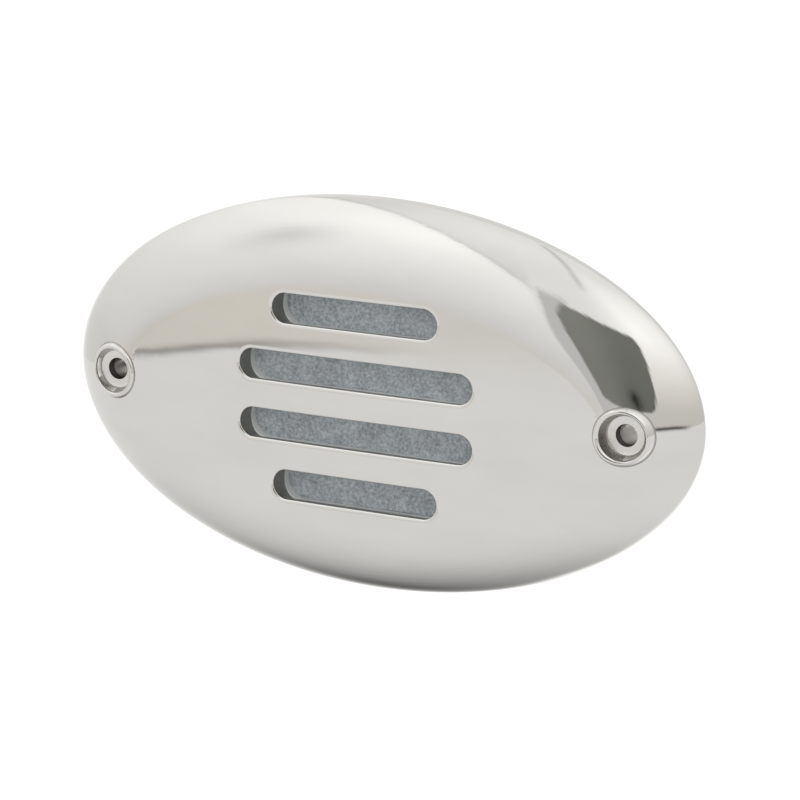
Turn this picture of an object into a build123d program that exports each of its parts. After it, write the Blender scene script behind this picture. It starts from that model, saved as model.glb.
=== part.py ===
from build123d import *
import math
import os

# Oval flush-mount air filter. All sizes in millimetres.
#
# The face of the panel it is screwed to is the plane Y = 0. The polished
# cover stands out from the panel towards -Y, with its long axis along X and
# its short axis along Z. The filter housing runs back through the panel's
# cut-out towards +Y. A "depth" below is a place along Y.

# ---- Driving dimensions -------------------------------------------------

# Cast cover: an oval of four arcs, gently crowned along its length, whose
# rim is rolled over in one large round
cover_length = 140.0
cover_width = 80.4
cover_end_radius = 27.0
cover_height = 11.8          # over the panel, at the middle
crown_sag = 3.1              # how far the crown has fallen at the ends
shoulder_round = 16.5
cover_wall = 3.0
rim_land = 6.0               # width of the flat ring that seats on the panel

# Four air slots through the cover, the outer pair shorter
slot_pitch = 12.05
slot_width = 6.8
slot_long = 52.3
slot_short = 37.2
slot_edge_round = 0.5
slot_plate = 4.5             # thickness of the flat-backed pad that the slots go through

# Two mounting screw holes on the long axis, each in a raised, sunk seat
mount_inset = 13.4           # from the oval's end to the hole's middle
mount_hole = 4.8
mount_seat = 9.4             # diameter of the sunk seat for a screw head
mount_seat_depth = 2.2       # below the crown beside it
mount_boss = 12.4
mount_lip_middle = 10.6      # diameter of the lip's middle, around the seat
mount_lip_round = 0.8        # radius of the lip's section
mount_lip_sunk = 0.35        # how far the lip's centre lies under the crown

# Rim gasket in a groove of the rim land
groove_inset = 3.0
groove_width = 2.0
groove_depth = 1.0

# Liner behind the slots, as long as the screw posts beside it allow
liner_width = 47.0
liner_thick = 2.0
liner_end_cover = 1.6        # how far the liner covers each slot's end
liner_slot_extra = 0.8       # its slots are this much wider than the cover's

# Soft and wire layers behind the liner
cloth_margin = 1.0           # from the liner's edge to the cloth's
cloth_thick = 1.2
screen_thick = 0.6
screen_pitch = 5.6
screen_hole = 4.4

# Housing behind the cover
housing_end_margin = 3.0     # beyond the liner at its ends
housing_side_margin = 1.5    # and above and below it
housing_wall = 2.0
housing_rear = 24.0          # depth of its rear face
housing_edge_round = 3.0
flange_lip = 2.0             # beyond the housing's wall, above and below
flange_end_lip = 1.0         # and at its two ends
flange_thick = 2.5
standoff_size = 3.6
standoff_x = 16.0

# Gasket between cover and housing
seal_thick = 2.2
seal_width = 2.4

# Filter cassette
cassette_wall = 1.4
cassette_depth = 15.5
cassette_ledge = 3.0
ledge_thick = 1.3
side_seal_sunk = 0.6         # how deep its rubber ring sits in its wall
side_seal_width = 1.6
side_seal_from_rear = 3.0
potting_width = 1.8
pleat_pitch = 5.0
pleat_paper = 0.7
bead_height = 0.4
bead_width = 1.2
bead_spacing = 11.0
bead_count = 3

# Two screws that hold the housing to the cover
screw_thread = 2.4
screw_pilot = 2.5
screw_pilot_roof = 1.4       # metal left above the blind hole
screw_tip_gap = 0.4
screw_clearance_hole = 3.4
screw_post = 7.2
screw_ear = 7.6
screw_head = 5.5
screw_head_height = 1.7
screw_recess = 0.7
screw_recess_depth = 0.8
washer_outer = 5.2
washer_inner = 3.2
washer_thick = 0.7
washer_gap = 0.6

# Outlet tube, its rubber grommet and its retaining ring
tube_outer = 32.0
tube_wall = 1.5
tube_end = 44.0              # depth of its open rear end
tube_lip = 37.0              # diameter of the flange on its inner end
tube_lip_thick = 1.5
tube_bead_round = 0.9
tube_bead_from_end = 1.6
grommet_outer = 42.0
grommet_neck = 36.6
grommet_front = 1.6          # thickness in front of the housing's rear wall
grommet_rear = 2.0           # and behind it
ring_outer = 36.4
ring_thick = 1.2
ring_gap = 5.0

# Drain valve in the floor of the housing
drain_hole = 5.2
drain_depth = 16.0
drain_collar = 9.0
drain_collar_thick = 1.4
drain_bulb = 7.2
drain_bulb_thick = 1.2
drain_body = 6.4
drain_body_length = 1.6
drain_lip_length = 3.0
drain_lip_thick = 0.9

# Clearances
fit_gap = 0.1                # between pieces that sit in each other
slide_gap = 0.3              # between the cassette and the housing
boss_gap = 0.6               # between a mounting boss and the housing's ear
post_gap = 0.8               # between a screw post and the cover's pad
reach = 30.0                 # longer than anything that a cutter goes through

# ---- Places worked out from them ----------------------------------------

half_length = cover_length / 2
crown_radius = (half_length ** 2 + crown_sag ** 2) / (2 * crown_sag)
mount_x = half_length - mount_inset
screw_x = mount_x - mount_boss / 2 - boss_gap - screw_ear / 2

pad_margin = seal_width + 2 * fit_gap
pad_length = 2 * (screw_x - screw_post / 2 - post_gap)
pad_width = liner_width + 2 * pad_margin
liner_length = pad_length - 2 * pad_margin
cloth_length = liner_length - 2 * cloth_margin
cloth_width = liner_width - 2 * cloth_margin
housing_length = liner_length + 2 * housing_end_margin
housing_width = liner_width + 2 * housing_side_margin

pad_rear = slot_plate - cover_height
liner_rear = pad_rear + liner_thick
flange_front = pad_rear + seal_thick
flange_rear = flange_front + flange_thick
cloth_rear = liner_rear + cloth_thick
screen_rear = cloth_rear + screen_thick
cassette_rear = screen_rear + cassette_depth
back_screen_rear = cassette_rear - ledge_thick
back_screen_front = back_screen_rear - screen_thick
rear_wall_front = housing_rear - housing_wall

inner_length = housing_length - 2 * housing_wall
inner_width = housing_width - 2 * housing_wall
cassette_length = inner_length - 2 * slide_gap
cassette_width = inner_width - 2 * slide_gap
pack_length = cassette_length - 2 * (cassette_wall + potting_width)
pack_width = cassette_width - 2 * (cassette_wall + potting_width)

slot_rows = [
    (1.5 * slot_pitch, slot_short),
    (0.5 * slot_pitch, slot_long),
    (-0.5 * slot_pitch, slot_long),
    (-1.5 * slot_pitch, slot_short),
]


# ---- Helpers ------------------------------------------------------------

def between(sketch, front, rear):
    """A sketch in X and Z, made solid from one depth back to another."""
    return extrude(Plane.XZ.offset(-rear) * sketch, amount=rear - front)


def obround(length, width):
    """A straight-sided oval with round ends, its length along X."""
    return SlotOverall(length, width)


def rod(x, z, diameter, front, rear):
    """A round bar along Y."""
    return between(Pos(x, z) * Circle(diameter / 2), front, rear)


def hoop(outer, inner, front, rear):
    """A flat round ring about the outlet's axis."""
    return between(Circle(outer / 2) - Circle(inner / 2), front, rear)


# ---- Shape of the cover's face ------------------------------------------

def oval(length, width, end_radius):
    """A smooth oval of four arcs, two about its ends and two along its sides."""
    a, b = length / 2, width / 2
    side_radius = ((a - end_radius) ** 2 + b ** 2 - end_radius ** 2) / (2 * (b - end_radius))
    stretch = side_radius / (side_radius - end_radius)
    x = stretch * (a - end_radius)
    z = (stretch - 1) * (side_radius - b)
    return make_face([
        ThreePointArc((-x, z), (0, b), (x, z)),
        ThreePointArc((x, z), (a, 0), (x, -z)),
        ThreePointArc((x, -z), (0, -b), (-x, -z)),
        ThreePointArc((-x, -z), (-a, 0), (-x, z)),
    ])


def rim_oval(inset):
    """The oval that runs inside the rim at this distance."""
    return oval(cover_length - 2 * inset, cover_width - 2 * inset, cover_end_radius - inset)


def end_shoulder():
    """Centre of the shoulder's round at the end of the oval: its x and height.

    The round touches the crown's arc from inside and meets the panel at the rim.
    """
    crown_y = cover_height - crown_radius
    to_crown = crown_radius - shoulder_round
    apart = math.hypot(half_length, crown_y)
    along = (to_crown ** 2 - shoulder_round ** 2 + apart ** 2) / (2 * apart)
    aside = math.sqrt(to_crown ** 2 - along ** 2)
    step_x, step_y = half_length / apart, -crown_y / apart
    return along * step_x - aside * step_y, crown_y + along * step_y + aside * step_x


def face_height(x):
    """Height of the cover's face over the panel, at x on the long axis."""
    centre_x, centre_height = end_shoulder()
    if x < centre_x * crown_radius / (crown_radius - shoulder_round):
        return cover_height - crown_radius + math.sqrt(crown_radius ** 2 - x ** 2)
    return centre_height + math.sqrt(shoulder_round ** 2 - (x - centre_x) ** 2)


def domed_block():
    """Everything between the panel and the cover's face."""
    blank_half_length = end_shoulder()[0] + shoulder_round
    side_rise = min(cover_height, shoulder_round)
    side_reach = math.sqrt(shoulder_round ** 2 - (shoulder_round - side_rise) ** 2)
    rolled_out = shoulder_round - side_reach
    blank = oval(
        2 * blank_half_length, cover_width + 2 * rolled_out, cover_end_radius + rolled_out
    )
    crown = extrude(
        Pos(0, crown_radius - cover_height) * Circle(crown_radius), amount=cover_width, both=True
    )
    block = between(blank, -reach, reach) & crown
    block = fillet(block.faces().sort_by(Axis.Y)[0].edges(), shoulder_round)
    return block & between(Rectangle(2 * cover_length, 2 * cover_width), -reach, 0)


# ---- Cover --------------------------------------------------------------

def mount_lip(side, height):
    """Rounded lip around a screw seat, tilted with the face under it."""
    tilt = math.asin((mount_x - end_shoulder()[0]) / shoulder_round)
    seat = Plane(
        origin=(side * mount_x, mount_lip_sunk - height, 0),
        z_dir=(side * math.sin(tilt), -math.cos(tilt), 0),
    )
    return seat * Torus(mount_lip_middle / 2, mount_lip_round)


def slot_cutters(front, rear, shorter=0.0, wider=0.0):
    """The four slots as solids, to be cut from a layer."""
    slots = [
        between(Pos(0, z) * obround(length - 2 * shorter, slot_width + wider), front, rear)
        for z, length in slot_rows
    ]
    return Part() + slots


def cover_fixings(block):
    """Bosses for the mounting screws and posts for the housing's screws."""
    bosses = Part()
    for side in (-1, 1):
        bosses += rod(side * mount_x, 0, mount_boss, -reach, 0)
        bosses += rod(side * screw_x, 0, screw_post, -reach, flange_front)
    return bosses & block


def front_cover():
    block = domed_block()
    hollow = (Pos(0, cover_wall, 0) * block) & between(rim_oval(rim_land), -reach, 0)
    pad = between(obround(pad_length, pad_width), -reach, pad_rear)
    cover = block - (hollow - pad) + cover_fixings(block)
    cover -= slot_cutters(-reach, pad_rear)
    rims = [edge for edge in cover.edges() if is_slot_rim(edge)]
    cover = fillet(rims, slot_edge_round)
    seat_height = face_height(mount_x)
    for side in (-1, 1):
        cover += mount_lip(side, seat_height)
        cover -= rod(side * mount_x, 0, mount_seat, -reach, mount_seat_depth - seat_height)
        cover -= rod(side * mount_x, 0, mount_hole, -reach, 0)
        pilot_end = screw_pilot_roof - face_height(screw_x)
        cover -= rod(side * screw_x, 0, screw_pilot, pilot_end, flange_front)
    return cover - rim_ring(0, -groove_depth, 0)


def is_slot_rim(edge):
    """True for the edges where a slot meets the cover's face."""
    box = edge.bounding_box()
    middle = edge.center()
    near_slots = abs(middle.X) < slot_long / 2 + slot_edge_round and abs(middle.Z) < 2 * slot_pitch
    on_face = box.max.Y < pad_rear - slot_plate / 2 and box.size.Y < slot_plate / 2
    return near_slots and on_face


def rim_ring(gap, front, rear):
    """An oval ring that follows the rim, in the groove of the rim land."""
    outer = groove_inset + gap
    inner = groove_inset + groove_width - gap
    return between(rim_oval(outer) - rim_oval(inner), front, rear)


def rim_gasket():
    return rim_ring(fit_gap, -groove_depth, 0)


# ---- Layers behind the slots --------------------------------------------

def slot_liner():
    plate = between(obround(liner_length, liner_width), pad_rear, liner_rear)
    return plate - slot_cutters(pad_rear, liner_rear, liner_end_cover, liner_slot_extra)


def prefilter_cloth():
    return between(obround(cloth_length, cloth_width), liner_rear, cloth_rear)


def screen(length, width, front, rear):
    """A flat sheet with a grid of square holes and a plain border."""
    sheet = obround(length, width)
    columns = int(length / screen_pitch)
    rows = int(width / screen_pitch)
    keep = (width - 2 * screen_hole) / 2
    straight = (length - width) / 2
    holes = []
    for place in GridLocations(screen_pitch, screen_pitch, columns, rows):
        x, z = place.position.X, place.position.Y
        if math.hypot(max(0, abs(x) - straight), z) < keep:
            holes.append(place * Rectangle(screen_hole, screen_hole))
    return between(sheet - holes, front, rear)


def insect_screen():
    return screen(cassette_length, cassette_width, cloth_rear, screen_rear)


# ---- Filter cassette ----------------------------------------------------

def cassette_frame():
    outer = obround(cassette_length, cassette_width)
    inner = obround(cassette_length - 2 * cassette_wall, cassette_width - 2 * cassette_wall)
    border = 2 * (cassette_wall + cassette_ledge)
    window = obround(cassette_length - border, cassette_width - border)
    tube = between(outer - inner, screen_rear, cassette_rear)
    tube += between(inner - window, back_screen_rear, cassette_rear)
    return tube - side_groove(0)


def side_groove(gap):
    """A ring around the cassette, in the groove of its wall, out to the housing."""
    outer = obround(inner_length - 2 * fit_gap, inner_width - 2 * fit_gap)
    sunk = 2 * (side_seal_sunk - gap)
    inner = obround(cassette_length - sunk, cassette_width - sunk)
    rear = cassette_rear - side_seal_from_rear - gap
    return between(outer - inner, rear + 2 * gap - side_seal_width, rear)


def side_seal():
    return side_groove(fit_gap)


def potting_seal():
    shrink = 2 * (cassette_wall + fit_gap)
    outer = obround(cassette_length - shrink, cassette_width - shrink)
    return between(outer - obround(pack_length, pack_width), screen_rear, back_screen_front)


def pleat_pack():
    """One sheet of filter paper, folded into upright pleats."""
    front = screen_rear + bead_height
    rear = back_screen_front - bead_height
    folds = 2 * int(pack_length / pleat_pitch)
    start = -folds * pleat_pitch / 4
    near, far = front + pleat_paper, rear - pleat_paper
    line = [(start + i * pleat_pitch / 2, near if i % 2 == 0 else far) for i in range(folds + 1)]
    path = Polyline(*line)
    sheet = make_face(offset(path, pleat_paper / 2, kind=Kind.INTERSECTION).edges())
    block = extrude(sheet, amount=pack_width / 2, both=True)
    inside = obround(pack_length - 2 * fit_gap, pack_width - 2 * fit_gap)
    return block & between(inside, front, rear)


def spacer_beads():
    """Lines of glue that keep the pleats apart, along their rear folds."""
    beads = []
    for i in range(bead_count):
        z = (i - (bead_count - 1) / 2) * bead_spacing
        strip = Pos(0, z) * Rectangle(pack_length - pack_width / 2, bead_width)
        beads.append(between(strip, back_screen_front - bead_height, back_screen_front))
    return Part() + beads


def rear_screen():
    shrink = 2 * (cassette_wall + fit_gap)
    return screen(
        cassette_length - shrink, cassette_width - shrink, back_screen_front, back_screen_rear
    )


# ---- Housing ------------------------------------------------------------

def housing_seal():
    inner = obround(liner_length + 2 * fit_gap, liner_width + 2 * fit_gap)
    grow = 2 * (fit_gap + seal_width)
    outer = obround(liner_length + grow, liner_width + grow)
    return between(outer - inner, pad_rear, flange_front)


def flange_outline():
    plate = obround(housing_length + 2 * flange_end_lip, housing_width + 2 * flange_lip)
    for side in (-1, 1):
        plate += Pos(side * screw_x, 0) * Circle(screw_ear / 2)
    return plate


def rear_housing():
    shell = between(obround(housing_length, housing_width), flange_front, housing_rear)
    shell = fillet(shell.faces().sort_by(Axis.Y)[-1].edges(), housing_edge_round)
    shell += between(flange_outline(), flange_front, flange_rear)
    shell -= between(obround(inner_length, inner_width), flange_front, rear_wall_front)
    standoff_z = (cassette_width - cassette_wall - cassette_ledge) / 2
    for side in (-1, 1):
        shell -= rod(side * screw_x, 0, screw_clearance_hole, flange_front, flange_rear)
        for z in (-standoff_z, standoff_z):
            shell += rod(side * standoff_x, z, standoff_size, cassette_rear, rear_wall_front)
    shell -= rod(0, 0, grommet_neck + 2 * fit_gap, rear_wall_front, housing_rear)
    return shell - drain_rod(drain_hole, 0, housing_wall)


def housing_screws():
    screws = []
    seat = flange_rear + washer_thick
    tip = screw_pilot_roof + screw_tip_gap - face_height(screw_x)
    for side in (-1, 1):
        screw = rod(side * screw_x, 0, screw_thread, tip, seat)
        screw += rod(side * screw_x, 0, screw_head, seat, seat + screw_head_height)
        cross = Rectangle(screw_head / 2, screw_recess) + Rectangle(screw_recess, screw_head / 2)
        top = seat + screw_head_height
        screw -= between(Pos(side * screw_x, 0) * cross, top - screw_recess_depth, top)
        screws.append(screw)
    return Part() + screws


def lock_washers():
    washers = []
    for side in (-1, 1):
        ring = Circle(washer_outer / 2) - Circle(washer_inner / 2)
        ring -= Pos(washer_outer / 2, 0) * Rectangle(washer_outer, washer_gap)
        place = Pos(side * screw_x, 0) * ring
        washers.append(between(place, flange_rear, flange_rear + washer_thick))
    return Part() + washers


# ---- Outlet -------------------------------------------------------------

def outlet_tube():
    lip_rear = rear_wall_front - grommet_front
    tube = rod(0, 0, tube_outer, lip_rear - tube_lip_thick, tube_end)
    tube += rod(0, 0, tube_lip, lip_rear - tube_lip_thick, lip_rear)
    bead = Plane.XZ.offset(tube_bead_from_end - tube_end)
    tube += bead * Torus(tube_outer / 2, tube_bead_round)
    return tube - rod(0, 0, tube_outer - 2 * tube_wall, lip_rear - tube_lip_thick, tube_end)


def outlet_grommet():
    bore = tube_outer + 2 * fit_gap
    grommet = hoop(grommet_neck, bore, rear_wall_front, housing_rear)
    grommet += hoop(grommet_outer, bore, rear_wall_front - grommet_front, rear_wall_front)
    return grommet + hoop(grommet_outer, bore, housing_rear, housing_rear + grommet_rear)


def retaining_ring():
    front = housing_rear + grommet_rear
    ring = Circle(ring_outer / 2) - Circle(tube_outer / 2 + fit_gap / 2)
    ring -= Pos(0, -ring_outer / 2) * Rectangle(ring_gap, ring_outer / 2)
    return between(ring, front, front + ring_thick)


# ---- Drain --------------------------------------------------------------

def drain_rod(diameter, start, length):
    """A round bar straight up from the housing's outer floor."""
    base = Plane(origin=(0, drain_depth, start - housing_width / 2), z_dir=(0, 0, 1))
    return extrude(base * Circle(diameter / 2), amount=length)


def drain_valve():
    below = drain_collar_thick + drain_body_length
    valve = drain_rod(drain_hole - 2 * fit_gap, 0, housing_wall)
    valve += drain_rod(drain_bulb, housing_wall, drain_bulb_thick)
    valve += drain_rod(drain_collar, -drain_collar_thick, drain_collar_thick)
    valve += drain_rod(drain_body, -below, drain_body_length)
    root = Plane(origin=(0, drain_depth, -below - housing_width / 2), z_dir=(0, 0, -1))
    tip = root.offset(drain_lip_length)
    lips = loft([root * Circle(drain_body / 2), tip * Rectangle(drain_body, drain_lip_thick)])
    return valve + lips


# ---- Files --------------------------------------------------------------

pieces = {
    "front_cover": front_cover,
    "rim_gasket": rim_gasket,
    "slot_liner": slot_liner,
    "prefilter_cloth": prefilter_cloth,
    "insect_screen": insect_screen,
    "cassette_frame": cassette_frame,
    "side_seal": side_seal,
    "potting_seal": potting_seal,
    "pleat_pack": pleat_pack,
    "spacer_beads": spacer_beads,
    "rear_screen": rear_screen,
    "housing_seal": housing_seal,
    "rear_housing": rear_housing,
    "housing_screws": housing_screws,
    "lock_washers": lock_washers,
    "outlet_tube": outlet_tube,
    "outlet_grommet": outlet_grommet,
    "retaining_ring": retaining_ring,
    "drain_valve": drain_valve,
}

os.makedirs("parts", exist_ok=True)
for name, make in pieces.items():
    export_step(make(), f"parts/{name}.step")
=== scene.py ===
"""Dresses an oval, panel-mounted air filter: polished cover, felt, plastic and rubber pieces.

The file is laid out as a Blender add-on and is run as a script. Everything is in
metres: X along the cover's long axis, Y back through the panel, Z up. The face of
the panel is the plane Y = 0, and a "height" below is a distance out from it.
"""

import math

import bmesh
import bpy
from bpy.props import FloatProperty, FloatVectorProperty, PointerProperty
from bpy.types import Operator, Panel, PropertyGroup
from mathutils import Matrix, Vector


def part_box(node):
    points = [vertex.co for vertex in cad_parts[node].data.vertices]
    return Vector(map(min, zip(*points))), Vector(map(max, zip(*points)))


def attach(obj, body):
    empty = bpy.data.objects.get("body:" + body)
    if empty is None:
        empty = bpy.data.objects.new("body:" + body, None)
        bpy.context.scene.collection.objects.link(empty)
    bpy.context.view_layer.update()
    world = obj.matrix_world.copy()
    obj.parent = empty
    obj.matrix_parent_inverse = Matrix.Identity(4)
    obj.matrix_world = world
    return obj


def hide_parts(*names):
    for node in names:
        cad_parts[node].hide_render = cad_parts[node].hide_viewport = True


bl_info = {
    "name": "Oval air filter",
    "version": (1, 0, 0),
    "blender": (4, 5, 0),
    "location": "3D View > Sidebar > Air filter",
    "description": "Builds the looks of an oval panel-mounted air filter around its packed model",
    "category": "Object",
}

MM = 0.001
QUARTER = math.pi / 2
NEAR = 0.3 * MM   # how close a corner lies to the outline that it belongs to
LEVEL = 1e-6      # how close a corner lies to the plane that it belongs to

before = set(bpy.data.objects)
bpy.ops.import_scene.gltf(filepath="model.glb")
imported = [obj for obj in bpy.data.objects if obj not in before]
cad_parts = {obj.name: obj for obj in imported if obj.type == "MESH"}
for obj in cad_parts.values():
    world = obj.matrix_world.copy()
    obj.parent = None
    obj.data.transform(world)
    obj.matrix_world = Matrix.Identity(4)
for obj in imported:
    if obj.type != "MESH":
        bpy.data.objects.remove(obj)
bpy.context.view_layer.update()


# ---- Colour -------------------------------------------------------------

def linear(code):
    """An sRGB hex colour, such as #8f9496, as linear red, green, blue and alpha."""
    channels = [int(code[i:i + 2], 16) / 255 for i in (1, 3, 5)]
    return [c / 12.92 if c <= 0.04045 else ((c + 0.055) / 1.055) ** 2.4 for c in channels] + [1.0]


def length(name, description, default):
    """A length property, in metres."""
    return FloatProperty(
        name=name, description=description, default=default, min=0.0, precision=5,
        subtype="DISTANCE", unit="LENGTH",
    )


def angle(name, description, degrees):
    """An angle property, given here in degrees."""
    return FloatProperty(
        name=name, description=description, default=math.radians(degrees),
        subtype="ANGLE", unit="ROTATION",
    )


def colour(name, description, code):
    """A colour property, given here as sRGB hex."""
    return FloatVectorProperty(
        name=name, description=description, default=linear(code), size=4, min=0.0, max=1.0,
        subtype="COLOR",
    )


# ---- Sizes and colours a user would change ------------------------------

COVER_LOW, COVER_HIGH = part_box("front_cover")
LINER_LOW, LINER_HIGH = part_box("slot_liner")
CLOTH_LOW, CLOTH_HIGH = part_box("prefilter_cloth")


class CoverSizes(PropertyGroup):
    """Shape of the polished cover."""

    half_length: length("Half length", "From the middle to the oval's end", COVER_HIGH.x)
    half_width: length("Half width", "From the middle to the oval's side", 39.73 * MM)
    crown: length("Crown", "Height of the face at the middle", -COVER_LOW.y)
    end_sag: length("End sag", "How far the crown falls towards the ends", 2.65 * MM)
    side_sag: length("Side sag", "How far the crown falls towards the sides", 0.16 * MM)
    shoulder: length("Shoulder", "Width of the rolled shoulder inside the rim", 17.0 * MM)
    shoulder_fall: length("Shoulder fall", "How far the shoulder falls to the rim", 8.96 * MM)
    inner_power: FloatProperty(
        name="Inner power", description="Higher leaves the crown more softly", default=1.663,
    )
    rim_power: FloatProperty(
        name="Rim power", description="Higher turns down more sharply at the rim", default=1.321,
    )
    wall: length("Wall", "Thickness of the casting away from the slots", 3.0 * MM)
    pad: length("Pad", "Height of the flat back of the pad behind the slots", -LINER_LOW.y)
    pad_margin: length("Pad margin", "From the liner's edge to the pad's", 2.6 * MM)
    land: length("Land", "Width of the flat ring on the panel", 6.0 * MM)
    end_radius: length("End radius", "Round of the gasket's oval at its ends", 27.0 * MM)
    groove_inset: length("Groove inset", "From the rim to the gasket's groove", 3.0 * MM)
    groove_width: length("Groove width", "Width of the gasket's groove", 2.0 * MM)
    groove_depth: length("Groove depth", "Depth of the gasket's groove", 1.0 * MM)
    cell: length("Cell", "Size of the facets on the face", 1.2 * MM)


class SlotSizes(PropertyGroup):
    """The four air slots."""

    pitch: length("Pitch", "From one slot to the next", 12.05 * MM)
    drop: length("Drop", "How far the slots lie under the middle", 0.2 * MM)
    width: length("Width", "Across a slot", 6.1 * MM)
    long: length("Long slots", "Length of the two inner slots", 51.8 * MM)
    short: length("Short slots", "Length of the two outer slots", 36.6 * MM)
    rim_reach: length("Rim reach", "How far the rounded rim runs out over the face", 0.8 * MM)
    rim_depth: length("Rim depth", "How far the rounded rim turns into the slot", 0.35 * MM)
    draft: length("Draft", "How far a slot's long walls open out towards their back", 0.95 * MM)
    end_close: length("End close", "How far its ends close in towards their back", 0.25 * MM)
    liner_room: length("Liner room", "How much wider the liner's openings are, each side", 1.2 * MM)
    liner_step: length("Liner step", "How far the liner shows inside a slot's end", 0.15 * MM)
    liner_edge: length("Liner edge", "Rounding of the liner's openings", 0.35 * MM)


class SeatSizes(PropertyGroup):
    """The two mounting holes and their sunk, lipped seats."""

    place: length("Place", "From the middle to a hole", 56.9 * MM)
    foot: length("Foot", "Radius where the lip leaves the face", 5.9 * MM)
    lip: length("Lip", "Radius of the middle of the lip", 5.1 * MM)
    lip_half: length("Lip half width", "Half the width of the lip", 0.6 * MM)
    lip_height: length("Lip height", "How far the lip stands out from the face", 0.72 * MM)
    depth: length("Depth", "From the face to the seat's floor", 1.95 * MM)
    throat: length("Throat", "Depth of the finished part of the screw hole", 2.0 * MM)
    edge: length("Edge", "Rounding where the wall meets the floor", 0.5 * MM)
    burr: length("Burr", "Broken edge of the screw hole", 0.06 * MM)
    hole: length("Hole", "Radius of the screw hole", 2.2 * MM)
    core: length("Core", "Radius of the cast hole at the back", 1.75 * MM)
    boss: length("Boss", "Radius of the boss behind the seat", 6.2 * MM)
    post_place: length("Post place", "From the middle to a housing screw's post", 46.0 * MM)
    post: length("Post", "Radius of that post", 3.6 * MM)
    post_height: length("Post height", "Height of the end of that post", 5.1 * MM)
    pilot: length("Pilot", "Radius of the blind hole in that post", 1.25 * MM)
    pilot_roof: length("Pilot roof", "Metal left above the blind hole", 1.4 * MM)


class FeltSizes(PropertyGroup):
    """The felt behind the slots."""

    quilt: length("Unevenness", "How far the felt's surface rises and falls", 0.12 * MM)
    cell: length("Cell", "Size of the felt's facets", 1.2 * MM)


class StageSizes(PropertyGroup):
    """Camera, floor and lamps."""

    azimuth: angle("Azimuth", "Camera's direction, from straight ahead towards +X", 27.97)
    elevation: angle("Elevation", "Camera's height as an angle", 14.23)
    distance: length("Distance", "From the middle of the object to the camera", 687.5 * MM)
    picture: length("Picture width", "What the picture spans at the object", 159.5 * MM)
    shift_x: FloatProperty(
        name="Shift across", description="Camera's shift, in picture widths", default=0.0243,
    )
    shift_y: FloatProperty(
        name="Shift up", description="Camera's shift, in picture widths", default=-0.0094,
    )
    floor_drop: length("Floor", "How far the floor lies under the middle", 160 * MM)
    lamp_power: FloatProperty(
        name="Lamp", description="Power of the overhead lamp", default=3.0, unit="POWER",
    )
    lamp_size: length("Lamp size", "Diameter of the overhead lamp", 900 * MM)
    lamp_place: FloatVectorProperty(
        name="Lamp place", description="Where the overhead lamp hangs",
        default=(0.25, -0.9, 0.6), size=3, subtype="TRANSLATION", unit="LENGTH",
    )


class FinishColours(PropertyGroup):
    """Colours of the finishes."""

    steel: colour("Steel", "Polished stainless steel", "#d4d2ce")
    cast: colour("Cast steel", "The steel where it isn't polished", "#a19e99")
    # Painted shade: a dark colour for the steel down in the screw holes, where little light reaches.
    drilled_painted_shade: colour("Drilled steel with painted shade", "The steel in the screw holes", "#5c5a57")
    felt: colour("Felt", "Grey felt", "#b7bdc1")
    liner: colour("Liner", "Grey moulded liner", "#dcdeda")
    plastic: colour("Plastic", "Black moulded plastic", "#26272a")
    tube: colour("Tube", "Satin black outlet tube", "#303236")
    rubber: colour("Rubber", "Black rubber", "#1c1c1d")
    potting: colour("Potting", "Cast orange polyurethane", "#c2701f")
    paper: colour("Paper", "Filter paper", "#d9cfae")
    glue: colour("Glue", "Hardened glue", "#d8d4c4")
    wire: colour("Wire", "Wire screen", "#a9abab")
    floor: colour("Floor", "Pale floor", "#f4f4f2")


GROUPS = {
    "filter_cover": CoverSizes,
    "filter_slots": SlotSizes,
    "filter_seats": SeatSizes,
    "filter_felt": FeltSizes,
    "filter_stage": StageSizes,
    "filter_colours": FinishColours,
}


# ---- Shape of the face --------------------------------------------------

def nearest_rim(sizes, x, z):
    """The nearest point of the rim's ellipse to a point inside it."""
    a, b = sizes.half_length, sizes.half_width
    px, pz = abs(x), abs(z)
    tx = tz = math.sqrt(0.5)
    for _ in range(8):
        centre_x, centre_z = (a * a - b * b) * tx ** 3 / a, (b * b - a * a) * tz ** 3 / b
        reach = math.hypot(a * tx - centre_x, b * tz - centre_z)
        away = math.hypot(px - centre_x, pz - centre_z)
        tx = min(1.0, max(0.0, ((px - centre_x) * reach / away + centre_x) / a))
        tz = min(1.0, max(0.0, ((pz - centre_z) * reach / away + centre_z) / b))
        size = math.hypot(tx, tz)
        tx, tz = tx / size, tz / size
    return math.copysign(a * tx, x), math.copysign(b * tz, z)


def inside_rim(sizes, x, z):
    """How far a point lies inside the rim."""
    rim_x, rim_z = nearest_rim(sizes, x, z)
    return math.hypot(rim_x - x, rim_z - z)


def rim_frame(sizes, x, z):
    """Nearest rim point, and the unit step inwards from it."""
    rim_x, rim_z = nearest_rim(sizes, x, z)
    step_x, step_z = -rim_x / sizes.half_length ** 2, -rim_z / sizes.half_width ** 2
    size = math.hypot(step_x, step_z)
    return rim_x, rim_z, step_x / size, step_z / size


def step_in(sizes, x, z, inset):
    """The place that lies this far inside the rim, straight in from the nearest rim point."""
    rim_x, rim_z, step_x, step_z = rim_frame(sizes, x, z)
    return rim_x + inset * step_x, rim_z + inset * step_z


def fall(sizes, inset):
    """How far the shoulder has fallen at a distance inside the rim, and its slope there."""
    t = max(0.0, 1 - inset / sizes.shoulder)
    p, q, v = sizes.inner_power, sizes.rim_power, sizes.shoulder_fall
    left = max(1e-7, 1 - t ** p)
    drop = v * (1 - left ** (1 / q)) if t > 0 else 0.0
    slope = v / sizes.shoulder * p / q * t ** (p - 1) * left ** (1 / q - 1) if t > 0 else 0.0
    return drop, slope


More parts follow.
